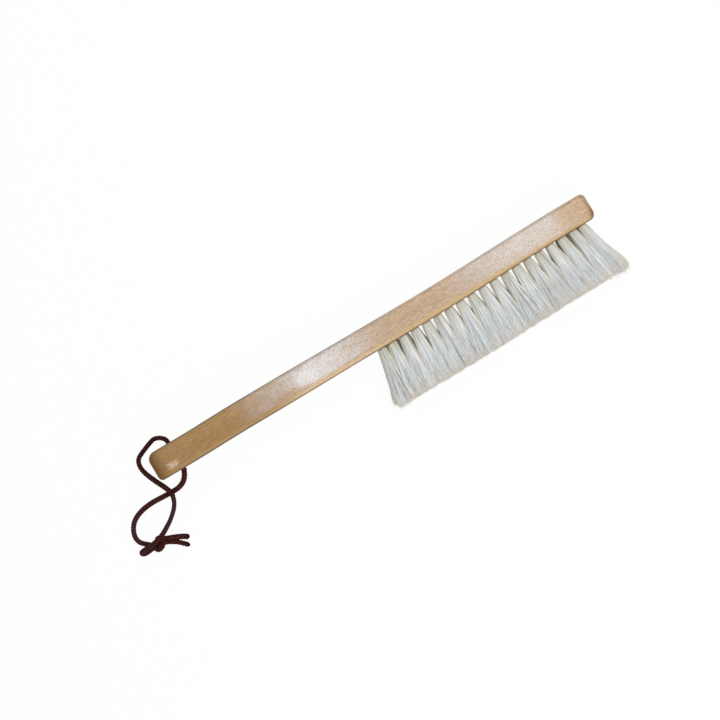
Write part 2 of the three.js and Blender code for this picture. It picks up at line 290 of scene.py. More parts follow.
def fill_mesh(name, vertices, quads, triangles):
    """A mesh of many quads and triangles from arrays."""
    mesh = bpy.data.meshes.new(name)
    corners = np.concatenate([quads.reshape(-1), triangles.reshape(-1)]).astype(np.int32)
    sizes = np.concatenate([np.full(len(quads), 4), np.full(len(triangles), 3)]).astype(np.int32)
    starts = np.concatenate([[0], np.cumsum(sizes)[:-1]]).astype(np.int32)
    mesh.vertices.add(len(vertices))
    mesh.vertices.foreach_set("co", vertices.astype(np.float32).reshape(-1))
    mesh.loops.add(len(corners))
    mesh.loops.foreach_set("vertex_index", corners)
    mesh.polygons.add(len(sizes))
    mesh.polygons.foreach_set("loop_start", starts)
    mesh.update(calc_edges=True)
    mesh.validate()
    mesh.shade_smooth()
    thing = bpy.data.objects.new(name, mesh)
    bpy.context.scene.collection.objects.link(thing)
    return thing


def write_numbers(mesh, name, values):
    attribute = mesh.attributes.new(name, "FLOAT", "POINT")
    attribute.data.foreach_set("value", values.astype(np.float32))


def tube_faces(rings, sides, start=0):
    """Quads of a tube of so many rings, as indices from start."""
    ring, side = np.meshgrid(np.arange(rings - 1), np.arange(sides), indexing="ij")
    a = start + ring * sides + side
    b = start + ring * sides + (side + 1) % sides
    return np.stack([a, b, b + sides, a + sides], axis=-1).reshape(-1, 4)


# Shader nodes
def new_material(name):
    material = bpy.data.materials.new(name)
    material.use_nodes = True
    tree = material.node_tree
    shader = tree.nodes["Principled BSDF"]
    return material, tree, shader


def add_node(tree, kind, **settings):
    node = tree.nodes.new(kind)
    for key, value in settings.items():
        setattr(node, key, value)
    return node


def plug(tree, socket, value):
    """Links a socket to another one, or sets its value."""
    if isinstance(value, bpy.types.NodeSocket):
        tree.links.new(value, socket)
    else:
        socket.default_value = value


def feed(tree, node, **values):
    """Fills a node's inputs by name. An underscore in a name stands for a space."""
    for key, value in values.items():
        plug(tree, node.inputs[key.replace("_", " ")], value)


def noise(tree, place, stretch, detail):
    mapping = add_node(tree, "ShaderNodeMapping")
    feed(tree, mapping, Vector=place, Scale=stretch)
    texture = add_node(tree, "ShaderNodeTexNoise")
    feed(tree, texture, Vector=mapping.outputs["Vector"], Scale=1.0, Detail=detail)
    return texture.outputs["Fac"]


def stepped(tree, value, low, high, low_out=0.0, high_out=1.0):
    """A smooth step from low_out to high_out, while the value goes from low to high."""
    node = add_node(tree, "ShaderNodeMapRange", interpolation_type="SMOOTHSTEP")
    feed(tree, node, Value=value, From_Min=low, From_Max=high, To_Min=low_out, To_Max=high_out)
    return node.outputs["Result"]


def zone(tree, value, rise, fall, peak=1.0):
    """A share that rises to its peak and falls again, between places in millimetres."""
    up = stepped(tree, value, rise[0] * MM, rise[1] * MM)
    down = stepped(tree, value, fall[0] * MM, fall[1] * MM, 0.0, peak)
    return product(tree, up, down)


def maths(tree, operation, first, second):
    node = add_node(tree, "ShaderNodeMath", operation=operation)
    plug(tree, node.inputs[0], first)
    plug(tree, node.inputs[1], second)
    return node.outputs["Value"]


def product(tree, first, *others):
    for other in others:
        first = maths(tree, "MULTIPLY", first, other)
    return first


def mixed(tree, factor, first, second, blend="MIX"):
    node = add_node(tree, "ShaderNodeMix", data_type="RGBA", blend_type=blend)
    colours = [socket for socket in node.inputs if socket.type == "RGBA"]
    for socket, value in zip((node.inputs["Factor"], *colours), (factor, first, second)):
        plug(tree, socket, value)
    return next(socket for socket in node.outputs if socket.type == "RGBA")


def bumped(tree, shader, height, strength, distance, normal="Normal"):
    bump = add_node(tree, "ShaderNodeBump")
    feed(tree, bump, Height=height, Strength=strength, Distance=distance)
    tree.links.new(bump.outputs["Normal"], shader.inputs[normal])


# Materials
def handle_places(tree):
    """A place on the handle, and how far it lies along, across and up."""
    place = add_node(tree, "ShaderNodeTexCoord").outputs["Object"]
    split = add_node(tree, "ShaderNodeSeparateXYZ")
    feed(tree, split, Vector=place)
    along = split.outputs["X"]
    across = maths(tree, "SUBTRACT", split.outputs["Y"], product(tree, along, HEAD_SLOPE))
    return place, along, across, split.outputs["Z"]


def wood_figure(tree, place, along, streak):
    """Bare wood, tan at the grip and paler towards the head."""
    paleness = stepped(tree, along, BUTT_X + 70 * MM, NECK_X + 40 * MM)
    tone = mixed(tree, paleness, linear(172, 136, 88), linear(193, 161, 115))
    # broad bands, mottling and fine streaks along the grain
    band = noise(tree, place, (7, 75, 75), 3.0)
    tone = mixed(tree, stepped(tree, band, 0.36, 0.66, 0.0, 0.4), tone, linear(150, 110, 64))
    mottle = noise(tree, place, (120, 240, 240), 3.0)
    pale_spots = product(tree, stepped(tree, mottle, 0.42, 0.68, 0.0, 0.5), paleness)
    tone = mixed(tree, pale_spots, tone, linear(206, 176, 140))
    blush = noise(tree, place, (60, 140, 140), 2.0)
    red_spots = product(tree, stepped(tree, blush, 0.46, 0.68, 0.0, 0.4), paleness)
    tone = mixed(tree, red_spots, tone, linear(178, 130, 94))
    tone = mixed(tree, stepped(tree, streak, 0.42, 0.68, 0.0, 0.45), tone, linear(128, 90, 50))
    tone = mixed(tree, stepped(tree, streak, 0.46, 0.3, 0.0, 0.25), tone, linear(200, 168, 126))
    # short darker flecks, most of them at the head
    fleck = noise(tree, place, (260, 760, 760), 2.0)
    fleck_share = stepped(tree, paleness, 0.0, 1.0, 0.4, 0.55)
    fleck_share = product(tree, fleck_share, stepped(tree, fleck, 0.5, 0.68))
    return mixed(tree, fleck_share, tone, linear(138, 92, 62))


def edge_light_and_shade(tree, along, across, height, tone):
    """The face is golden along its lower edge, its own tone with a painted highlight on the round-over, and
    the rounded edges get painted shade.
    """
    lit_towards_head = stepped(tree, along, -120 * MM, -50 * MM)
    # painted highlight along the lower round-over, weaker at the grip and lighter midway
    lit_gold = mixed(tree, lit_towards_head, linear(174, 140, 96), linear(204, 170, 114))
    lit_gold = mixed(tree, zone(tree, along, (-95, -60), (25, -15), 0.7), lit_gold, linear(230, 204, 165))
    upper = stepped(tree, height, MID_Z, THICKNESS - 2 * MM)
    lower_edge_light = product(tree, stepped(tree, across, -6.8 * MM, -9.3 * MM, 0.0, 0.8), upper)
    tone = mixed(tree, lower_edge_light, tone, lit_gold)
    brown = mixed(tree, lit_towards_head, linear(78, 57, 35), linear(120, 93, 57))
    grey = mixed(tree, lit_towards_head, linear(112, 98, 78), linear(200, 188, 170))
    grey = mixed(tree, zone(tree, along, (-100, -70), (30, -10), 0.8), grey, linear(124, 118, 110))
    # painted shade on the round-overs where they turn from the light: brown along the lower edge, grey along
    # the upper
    dark = mixed(tree, stepped(tree, across, -4 * MM, 4 * MM), brown, grey)
    from_middle = maths(tree, "SUBTRACT", height, MID_Z)
    from_middle = maths(tree, "MAXIMUM", from_middle, product(tree, from_middle, -1.0))
    off_face = stepped(tree, from_middle, MID_Z - 0.1 * MM, MID_Z - 0.95 * MM, 0.0, 0.95)
    off_side = stepped(tree, from_middle, MID_Z - 4.5 * MM, MID_Z - 2.6 * MM)
    return mixed(tree, product(tree, off_face, off_side), tone, dark)


def dark_ends(tree, along, across, tone):
    """The butt is darker, and so is the end grain, which at the butt runs on as painted shade where the end
    curves away.
    """
    butt = stepped(tree, along, BUTT_X + 70 * MM, BUTT_X, 0.0, 0.3)
    # darker end grain, and painted shade where the butt's end curves away
    butt_end_grain_and_shade = stepped(tree, along, BUTT_X, BUTT_X + 14 * MM, 1.0, 0.0)
    tip_end = stepped(tree, along, TIP_X - 6 * MM, TIP_X - 0.5 * MM, 0.0, 0.5)
    tip_corner = stepped(tree, along, TIP_X - 8 * MM, TIP_X - 1 * MM)
    tip_corner = product(tree, tip_corner, stepped(tree, across, 1 * MM, -7 * MM, 0.0, 0.6))
    tone = mixed(tree, butt, tone, linear(138, 98, 50))
    tone = mixed(tree, butt_end_grain_and_shade, tone, linear(106, 68, 18))
    tone = mixed(tree, tip_end, tone, linear(146, 100, 62))
    return mixed(tree, tip_corner, tone, linear(120, 72, 46))


def glare_on_lacquer(tree, place, along, across, height, peel, tone):
    """Painted reflection: the glare of the ceiling lamps in the lacquer, painted as a milky whitening over
    the grip and the head.
    """
    patch = noise(tree, place, (110, 170, 170), 3.0)
    glare_grain = noise(tree, place, (1300, 800, 800), 3.0)
    uneven = stepped(tree, patch, 0.34, 0.64, 0.75, 1.15)
    uneven = product(tree, uneven, stepped(tree, glare_grain, 0.38, 0.62, 0.55, 1.4))
    # painted reflection over the grip
    grip_glare = zone(tree, along, (-135, -85), (25, -30), 0.4)
    grip_glare = maths(tree, "ADD", grip_glare, zone(tree, along, (-85, -55), (20, -60), 0.5))
    glare_gap = zone(tree, along, (-100, -85), (-56, -68), 0.8)
    glare_gap = product(tree, glare_gap, stepped(tree, across, 0.0, -4 * MM))
    grip_glare = product(tree, grip_glare, uneven, stepped(tree, across, -8 * MM, -5 * MM))
    grip_glare = product(tree, grip_glare, maths(tree, "SUBTRACT", 1.0, glare_gap))
    # painted reflection over the head, and a faint one from the middle to the tip
    head_glare = zone(tree, along, (55, 118), (184, 168), 0.47)
    head_glare = product(tree, head_glare, uneven, stepped(tree, across, -8 * MM, 1 * MM, 0.5, 1.1))
    faint_glare = zone(tree, along, (-30, 20), (199, 185), 0.1)
    flat = stepped(tree, height, THICKNESS - 1.2 * MM, THICKNESS - 0.2 * MM)
    painted_glare = maths(tree, "ADD", maths(tree, "ADD", grip_glare, head_glare), faint_glare)
    painted_glare = product(tree, painted_glare, flat, stepped(tree, across, -9 * MM, -6 * MM))
    tone = mixed(tree, painted_glare, tone, linear(205, 203, 203))
    # painted highlight: one spot of the glare is nearly white
    glare_core = zone(tree, along, (-75, -67), (-49, -58))
    glare_core = product(tree, glare_core, flat, zone(tree, across, (-6.5, -3), (8.5, 4)))
    glare_core = product(tree, glare_core, stepped(tree, peel, 0.36, 0.62, 0.3, 0.75))
    tone = mixed(tree, glare_core, tone, linear(223, 222, 226))
    # painted highlight: fine pale specks of glint at one corner of the butt
    butt_glints = zone(tree, along, (-196, -190), (-182, -188))
    butt_glints = product(tree, butt_glints, flat, zone(tree, across, (-7.5, -5), (0, -2.5)))
    speck = noise(tree, place, (1250, 1250, 1250), 2.0)
    butt_glints = product(tree, butt_glints, stepped(tree, speck, 0.4, 0.64, 0.12, 0.75))
    tone = mixed(tree, butt_glints, tone, linear(236, 222, 198))
    # fine dark specks from the grip to the tip
    grain = noise(tree, place, (1150, 950, 950), 3.0)
    speckled = stepped(tree, along, -130 * MM, -85 * MM)
    speckled = product(tree, stepped(tree, grain, 0.48, 0.66, 0.0, 0.6), speckled)
    return mixed(tree, speckled, tone, linear(154, 122, 98))


def wood_material():
    material, tree, shader = new_material("lacquered_wood")
    place, along, across, height = handle_places(tree)
    streak = noise(tree, place, (130, 1000, 1000), 4.0)
    peel = noise(tree, place, (1000, 1150, 1150), 3.0)
    tone = wood_figure(tree, place, along, streak)
    tone = edge_light_and_shade(tree, along, across, height, tone)
    tone = dark_ends(tree, along, across, tone)
    tone = glare_on_lacquer(tree, place, along, across, height, peel, tone)
    feed(tree, shader, Base_Color=tone)
    feed(tree, shader, Roughness=stepped(tree, streak, 0.3, 0.7, 0.42, 0.56), Specular_IOR_Level=0.05)
    feed(tree, shader, Coat_Weight=0.6, Coat_Roughness=0.17, Coat_IOR=1.5)
    bumped(tree, shader, streak, 0.3, 0.1 * MM)
    # the lacquer has a fine orange-peel surface
    bumped(tree, shader, peel, 1.0, 0.035 * MM, "Coat Normal")
    return material


def hair_material():
    material, tree, shader = new_material("soft_hair")
    along = add_node(tree, "ShaderNodeAttribute", attribute_name="along").outputs["Fac"]
    tone = add_node(tree, "ShaderNodeAttribute", attribute_name="tone").outputs["Fac"]
    aside = add_node(tree, "ShaderNodeAttribute", attribute_name="aside").outputs["Fac"]
    colour = mixed(tree, stepped(tree, tone, 0.15, 0.75), linear(222, 223, 219), linear(253, 255, 255))
    colour = mixed(tree, stepped(tree, tone, 0.17, 0.09), colour, linear(154, 145, 130))
    # painted shade and light: warm at the sides of a tuft, where they lie in shade, and cool in its lit
    # middle
    warm_side_shade = stepped(tree, aside, 0.4, 0.95, 0.0, 0.7)
    cool_lit_middle = stepped(tree, aside, 0.6, 0.1, 0.0, 0.7)
    colour = mixed(tree, warm_side_shade, colour, linear(253, 247, 233), "MULTIPLY")
    colour = mixed(tree, cool_lit_middle, colour, linear(245, 251, 255), "MULTIPLY")
    # duller towards the root, and a brown painted shadow where it leaves the hole
    root = stepped(tree, along, 0.4, 0.0)
    colour = mixed(tree, root, colour, linear(230, 225, 212), "MULTIPLY")
    colour = mixed(tree, stepped(tree, along, 0.03, 0.0, 0.0, 0.6), colour, linear(140, 122, 94))
    # the trimmed ends are a little yellowed
    near_trim = stepped(tree, along, 0.78, 0.95)
    colour = mixed(tree, near_trim, colour, linear(252, 248, 244), "MULTIPLY")
    colour = mixed(tree, stepped(tree, along, 0.93, 1.0, 0.0, 0.55), colour, linear(206, 190, 170))
    feed(tree, shader, Base_Color=colour, Roughness=0.45, Specular_IOR_Level=0.2)
    return material


def anchor_material():
    material, tree, shader = new_material("anchor_wire")
    place = add_node(tree, "ShaderNodeTexCoord").outputs["Object"]
    drawn = noise(tree, place, (200, 3000, 3000), 3.0)
    feed(tree, shader, Base_Color=mixed(tree, drawn, linear(170, 170, 168), linear(196, 196, 192)))
    feed(tree, shader, Roughness=stepped(tree, drawn, 0.3, 0.7, 0.25, 0.45), Metallic=1.0)
    return material


def cord_material():
    material, tree, shader = new_material("braided_cord")
    crown = add_node(tree, "ShaderNodeAttribute", attribute_name="crown").outputs["Fac"]
    place = add_node(tree, "ShaderNodeTexCoord").outputs["Object"]
    fibre = noise(tree, place, (1800, 1800, 1800), 3.0)
    wear = noise(tree, place, (90, 90, 90), 2.0)
    # painted shade between the yarns and a painted highlight on their crowns, with painted glints on the
    # tops
    colour = mixed(tree, stepped(tree, crown, 0.5, 1.0), linear(20, 3, 2), linear(58, 13, 8))
    glint = product(tree, stepped(tree, crown, 0.8, 1.0), stepped(tree, fibre, 0.38, 0.56), 0.34)
    colour = mixed(tree, glint, colour, linear(168, 112, 100))
    colour = mixed(tree, stepped(tree, wear, 0.5, 0.7, 0.0, 0.45), colour, linear(30, 9, 8))
    # painted sheen: the loop above the knot is greyer and purplish
    split = add_node(tree, "ShaderNodeSeparateXYZ")
    feed(tree, split, Vector=place)
    loop_sheen = zone(tree, split.outputs["Y"], (-51, -46), (-25, -33), 0.4)
    colour = mixed(tree, loop_sheen, colour, linear(72, 52, 57))
    feed(tree, shader, Base_Color=colour, Roughness=0.7, Specular_IOR_Level=0.12)
    bumped(tree, shader, fibre, 0.4, 0.1 * MM)
    return material


# Handle outline: the centre line bends a little at both ends, and the width changes along it
def ramp(x, start, length):
    share = np.clip((x - start) / length, 0, 1)
    return share * share * (3 - 2 * share)


def centre_line(x):
    butt_bend = 1 - ramp(x, BUTT_X + DROP_FROM, DROP_LENGTH)
    return TIP_RISE * ramp(x, TIP_X - RISE_BEFORE, RISE_LENGTH) - BUTT_DROP * butt_bend


def half_width(x):
    to_neck = ramp(x, NECK_X - NECK_AFTER_GRIP, NECK_AFTER_GRIP)
    to_head = ramp(x, NECK_X, HEAD_AFTER_NECK)
    return (GRIP_WIDTH + (NECK_WIDTH - GRIP_WIDTH) * to_neck + (HEAD_WIDTH - NECK_WIDTH) * to_head) / 2


def top_edge(x):
    return centre_line(x) + half_width(x)


def bottom_edge(x):
    return centre_line(x) - half_width(x)


def corner(x, y, radius, quarter):
    angles = (quarter + np.linspace(0, 1, CORNER_STEPS + 1)) * math.pi / 2
    return np.stack([x + radius * np.cos(angles), y + radius * np.sin(angles)], axis=1)


def edge_points(edge, start, end):
    x = np.linspace(start, end, EDGE_STEPS + 1)[1:-1]
    return np.stack([x, edge(x)], axis=1)


def handle_outline():
    butt_bottom = BUTT_X + BUTT_BOTTOM_RADIUS
    butt_top = BUTT_X + BUTT_TOP_RADIUS
    tip_bottom = TIP_X - TIP_BOTTOM_RADIUS
    tip_top = TIP_X - TIP_TOP_RADIUS
    return np.concatenate([
        corner(butt_bottom, bottom_edge(butt_bottom) + BUTT_BOTTOM_RADIUS, BUTT_BOTTOM_RADIUS, 2),
        edge_points(bottom_edge, butt_bottom, tip_bottom),
        corner(tip_bottom, bottom_edge(tip_bottom) + TIP_BOTTOM_RADIUS, TIP_BOTTOM_RADIUS, 3),
        corner(tip_top, top_edge(tip_top) - TIP_TOP_RADIUS, TIP_TOP_RADIUS, 0),
        edge_points(top_edge, tip_top, butt_top),
        corner(butt_top, top_edge(butt_top) - BUTT_TOP_RADIUS, BUTT_TOP_RADIUS, 1),
    ])


def inward(outline):
    """The direction into the outline at each of its points."""
    step = np.roll(outline, -1, axis=0) - np.roll(outline, 1, axis=0)
    normal = np.stack([-step[:, 1], step[:, 0]], axis=1)
    return normal / np.linalg.norm(normal, axis=1, keepdims=True)


def handle_blank():
    outline = handle_outline()
    into = inward(outline)
    inset = (EDGE_ROUND + (END_ROUND - EDGE_ROUND) * np.abs(into[:, 0]))[:, None]
    angles = np.linspace(0, math.pi / 2, ROUND_STEPS + 1)
    lower = [(1 - math.sin(a), EDGE_ROUND * (1 - math.cos(a))) for a in angles]
    layers = lower + [(share, THICKNESS - z) for share, z in reversed(lower)]
    count = len(outline)
    flats = [(outline + into * inset * share, z) for share, z in layers]
    rim = outline + into * (inset + FACE_RIM)
    flats = [(rim, 0.0), *flats, (rim, THICKNESS)]
    rings = [np.column_stack([flat, np.full(count, z)]) for flat, z in flats]
    faces = tube_faces(len(rings), count).tolist()
    faces.append(list(range(count))[::-1])
    faces.append([(len(rings) - 1) * count + i for i in range(count)])
    return new_object("wooden_handle", np.concatenate(rings), faces)


def round_cutter(profile, centre, sides):
    """A solid turned about a line along Y, from (radius, y) points."""
    angles = np.linspace(0, 2 * math.pi, sides, endpoint=False)
    rings = [
        np.stack([centre[0] + r * np.sin(angles), np.full(sides, y), centre[1] + r * np.cos(angles)], axis=1)
        for r, y in profile
    ]
    faces = tube_faces(len(rings), sides).tolist()
    faces.append(list(range(sides))[::-1])
    faces.append([(len(rings) - 1) * sides + i for i in range(sides)])
    return np.concatenate(rings), faces


def cord_hole_cutter():
    low = bottom_edge(CORD_HOLE_X)
    high = top_edge(CORD_HOLE_X)
    wide = CORD_HOLE_RADIUS + MOUTH_EASE + CUT_OVER
    profile = [
        (wide, low - CUT_OVER), (CORD_HOLE_RADIUS, low + MOUTH_EASE),
        (CORD_HOLE_RADIUS, high - MOUTH_EASE), (wide, high + CUT_OVER),
    ]
    return round_cutter(profile, (CORD_HOLE_X, MID_Z), CORD_HOLE_SIDES)


def tuft_hole_cutter(place):
    profile = [(HOLE_RADIUS, place["edge"] - CUT_OVER), (HOLE_RADIUS, place["edge"] + HOLE_DEPTH)]
    return round_cutter(profile, (place["x"], place["z"]), HOLE_SIDES)


def make_handle(places):
    handle = handle_blank()
    vertices, faces = [], []
    for part, part_faces in [cord_hole_cutter(), *[tuft_hole_cutter(p) for p in places]]:
        start = sum(len(v) for v in vertices)
        vertices.append(part)
        faces += [[start + i for i in face] for face in part_faces]
    cutter = new_object("cutter", np.concatenate(vertices), faces)
    cut = handle.modifiers.new("holes", "BOOLEAN")
    cut.operation = "DIFFERENCE"
    cut.solver = "EXACT"
    cut.object = cutter
    graph = bpy.context.evaluated_depsgraph_get()
    drilled = bpy.data.meshes.new_from_object(handle.evaluated_get(graph))
    handle.modifiers.clear()
    handle.data = drilled
    bpy.data.objects.remove(cutter)
    drilled.shade_smooth()
    drilled.set_sharp_from_angle(angle=SHARP_ANGLE)
    drilled.materials.clear()
    drilled.materials.append(wood_material())
    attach(handle, "brush")
    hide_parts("handle")


# Tufts
def tuft_places():
    places = []
    for row in (FRONT_ROW, BACK_ROW):
        for number in range(TUFTS_PER_ROW):
            shorter = max(row["end_pitches"] - min(number, LAST_TUFT - number), 0)
            x = FIRST_TUFT_X + number * TUFT_PITCH + row["shift"]
            x += np.sign(LAST_TUFT / 2 - number) * shorter * row["nudge"]
            trim_x = FAN_CENTRE_X + (number - LAST_TUFT / 2) * FAN_PITCH + row["shift"]
            places.append({
                "name": f"tuft_{row['name']}_{number + 1:02d}",
                "side": row["side"],
                "x": x,
                "edge": float(bottom_edge(x)),
                "z": MID_Z + row["side"] * ROW_SPACING / 2,
                "lean": trim_x - x,
                "merge_drop": row["merge_drop"],
                "outer_light": row["outer_light"],
                "at_end": number in (0, LAST_TUFT),
            })
    return places


def tuft_section(place, drop):
    """The middle of a tuft at a drop below the edge, and how far it spreads: x, z, along, deep."""
    share = np.clip(drop, 0, None) / HAIR_LENGTH
    depth = np.clip(share, 0, 1) ** DEPTH_CURVE
    drops = (0, BULGE_DROP, place["merge_drop"], HAIR_LENGTH)
    halves = (HOLE_RADIUS, BULGE_HALF, TUFT_PITCH / 2, FAN_PITCH / 2 * (1 + OVERLAP))
    along = np.interp(drop, drops, halves)
    inner = (ROW_SPACING / 2 - ROOT_RADIUS) * (1 - depth) - ROW_BLEND * depth
    outer = ROW_SPACING / 2 + ROOT_RADIUS
    outer = outer + (MID_Z - FLOOR_GAP - outer) * depth
    x = place["x"] + place["lean"] * share
    z = MID_Z + place["side"] * (inner + outer) / 2
    return x, z, along, (outer - inner) / 2


def side_lines(drop):
    """The outer lines of the whole row of hair at a drop below the edge."""
    share = np.clip(drop, 0, None) / HAIR_LENGTH
    return LEFT_ROOT_X - LEFT_REACH * share ** LEFT_CURVE, RIGHT_ROOT_X + RIGHT_REACH * share ** RIGHT_CURVE


def within_sides(x, drop, past):
    """Brings hair that would pass the outer lines back to them, but for the share past."""
    left, right = side_lines(drop)
    x = np.where(x < left, left + (x - left) * past, x)
    return np.where(x > right, right + (x - right) * past, x)


def corner_cut(x):
    """How much is trimmed off the hair near the two lower corners."""
    left, right = side_lines(HAIR_LENGTH)
    cut = np.zeros_like(x)
    for inside, radius in ((x - left, LEFT_ROUND), (right - x, RIGHT_ROUND)):
        away = radius - np.clip(inside, 0, radius)
        cut += radius - np.sqrt(radius ** 2 - away ** 2)
    return cut


def hair_lines(place, draw):
    """A tuft's hairs: centrelines and facing by hair, ring and xyz, and by hair a tone and how far aside."""
    count = HAIRS_PER_TUFT
    reach = draw.random(count) ** RIM_SHARE
    angle = draw.random(count) * 2 * math.pi
    spot = np.stack([reach * np.cos(angle), reach * np.sin(angle)], axis=1)
    square = spot / np.maximum(np.abs(np.cos(angle)), np.abs(np.sin(angle)))[:, None]
    middles = draw.uniform(-CLUMP_SPREAD, CLUMP_SPREAD, (CLUMPS, 2))
    clump = np.argmin(((spot[:, None] - middles[None]) ** 2).sum(axis=2), axis=1)
    drift = draw.normal(0, 1, (count, 2)) * TIP_DRIFT
    stray = draw.random(count) < (END_STRAY_SHARE if place["at_end"] else STRAY_SHARE)
    drift[stray] *= STRAY_REACH / TIP_DRIFT
    past = np.where(stray, STRAY_PAST, PAST_SIDE)[:, None]
    drift = drift + draw.normal(0, 1, (CLUMPS, 2))[clump] * CLUMP_DRIFT
    short = np.where(draw.random(count) < SHORT_SHARE, draw.random(count) * SHORTEST, 0)
    jitter = draw.normal(0, 1, count).clip(-2, 2) * (END_JITTER if place["at_end"] else TRIM_JITTER)
    if place["at_end"]:
        jitter += stray * draw.random(count) * STRAY_LONGER
    jitter += draw.normal(0, 1, CLUMPS).clip(-2, 1)[clump] * CLUMP_JITTER
    phase = draw.uniform(0, 2 * math.pi, CLUMPS)[clump][:, None]
    own_phase = draw.uniform(0, 2 * math.pi, (count, 1))
    own_turn = draw.uniform(*HAIR_TURNS, (count, 1))

    def line_at(drops):
        share = np.clip(drops / HAIR_LENGTH, 0, 1)
        x, z, along, deep = tuft_section(place, drops)
        pull = CLUMP_PULL * share ** 2
        squareness = SQUARENESS * share ** 2
        drifted = drift[:, None] * (share ** DRIFT_CURVE)[..., None]
        here_x = spot[:, :1] + (square[:, :1] - spot[:, :1]) * squareness
        here_z = spot[:, 1:] + (square[:, 1:] - spot[:, 1:]) * squareness
        here_x = here_x + (middles[clump, :1] - here_x) * pull
        here_z = here_z + (middles[clump, 1:] - here_z) * pull
        wave = CLUMP_WAVE * np.sin(CLUMP_TURN * share + phase)
        wave = wave + HAIR_WAVE * np.sin(own_turn * share + own_phase)
        line_x = x + here_x * along + drifted[..., 0] + wave * share
        line_z = z + here_z * deep + drifted[..., 1] * DRIFT_DEEP
        return within_sides(line_x, drops, past), np.clip(line_z, FLOOR_GAP, THICKNESS - FLOOR_GAP)

    tip_x = line_at(np.full((count, 1), HAIR_LENGTH))[0][:, 0]
    length = HAIR_LENGTH - TRIM_SHORT - corner_cut(tip_x) - short + jitter
    free = np.clip(HAIR_DROPS, 0, None)[None] * (length / HAIR_LENGTH)[:, None]
    drops = free + np.clip(HAIR_DROPS, None, 0)[None]
    line_x, line_z = line_at(drops)
    lines = np.stack([line_x, place["edge"] - drops, line_z], axis=2)
    fade = 1 - FLAT_SHARE * np.clip(HAIR_DROPS / HAIR_LENGTH, 0, 1)
    outward = np.zeros_like(lines)
    outward[:, :, 0] = SIDE_LIGHT * spot[:, :1] * fade[None]
    outward[:, :, 1] = -TRIM_FACE * np.clip(HAIR_DROPS / HAIR_LENGTH, 0, 1) ** TRIM_FACE_CURVE
    outward[:, :, 2] = spot[:, 1:] * fade + place["side"] * (place["outer_light"] + TRIM_LIGHT * (1 - fade))
    outward[:, -1, 2] *= np.abs(spot[:, 1])
    outward /= np.linalg.norm(outward, axis=2, keepdims=True)
    tone = draw.random(count) * (1 - CLUMP_TONE) + draw.random(CLUMPS)[clump] * CLUMP_TONE
    return lines, outward, tone, np.abs(spot[:, 0])


def hair_corners(rings):
    """Where each corner of a hair's quads lies in the hair's own map cell."""
    side = np.tile(np.arange(HAIR_SIDES), rings - 1)
    ring = np.repeat(np.arange(rings - 1), HAIR_SIDES)
    u = np.stack([side, side + 1, side + 1, side], axis=1) / HAIR_SIDES
    v = np.stack([ring, ring, ring + 1, ring + 1], axis=1) / (rings - 1)
    return np.stack([u, v], axis=2)


def map_hairs(mesh, count, rings):
    """One map cell for each hair, so that its colours along it are kept."""
    rows = math.ceil(count / UV_COLUMNS)
    cell = np.array([1 / UV_COLUMNS, 1 / rows])
    number = np.arange(count)
    origin = np.stack([number % UV_COLUMNS, number // UV_COLUMNS], axis=1) * cell
    low = UV_MARGIN
    high = 1 - UV_MARGIN
    inside = low + (high - low) * hair_corners(rings)
    quads = origin[:, None, None] + inside[None] * cell
    root = origin[:, None] + np.array([[low, low], [high, low], [0.5, 1.5 * low]]) * cell
    tip = origin[:, None] + np.array([[low, high], [high, high], [0.5, 1 - 1.5 * low]]) * cell
    layer = mesh.uv_layers.new(name="OFBake")
    flat = np.concatenate([quads.reshape(-1, 2), root.reshape(-1, 2), tip.reshape(-1, 2)])
    spare = len(mesh.loops) - len(flat)
    flat = np.concatenate([flat, np.full((spare, 2), UV_SPARE)])
    layer.data.foreach_set("uv", flat.astype(np.float32).reshape(-1))


def anchor_box(place):
    """The flat wire across the fold of a tuft, in its hole."""
    half = np.array(ANCHOR_SIZE) / 2
    signs = np.array([[x, y, z] for y in (-1, 1) for z in (-1, 1) for x in (-1, 1)])
    middle_y = place["edge"] + HOLE_DEPTH - FIT - ANCHOR_LIFT - half[1]
    corners = signs * half + np.array([place["x"], middle_y, place["z"]])
    faces = np.array([[0, 2, 3, 1], [4, 5, 7, 6], [0, 1, 5, 4], [2, 6, 7, 3], [0, 4, 6, 2], [1, 3, 7, 5]])
    return corners, faces


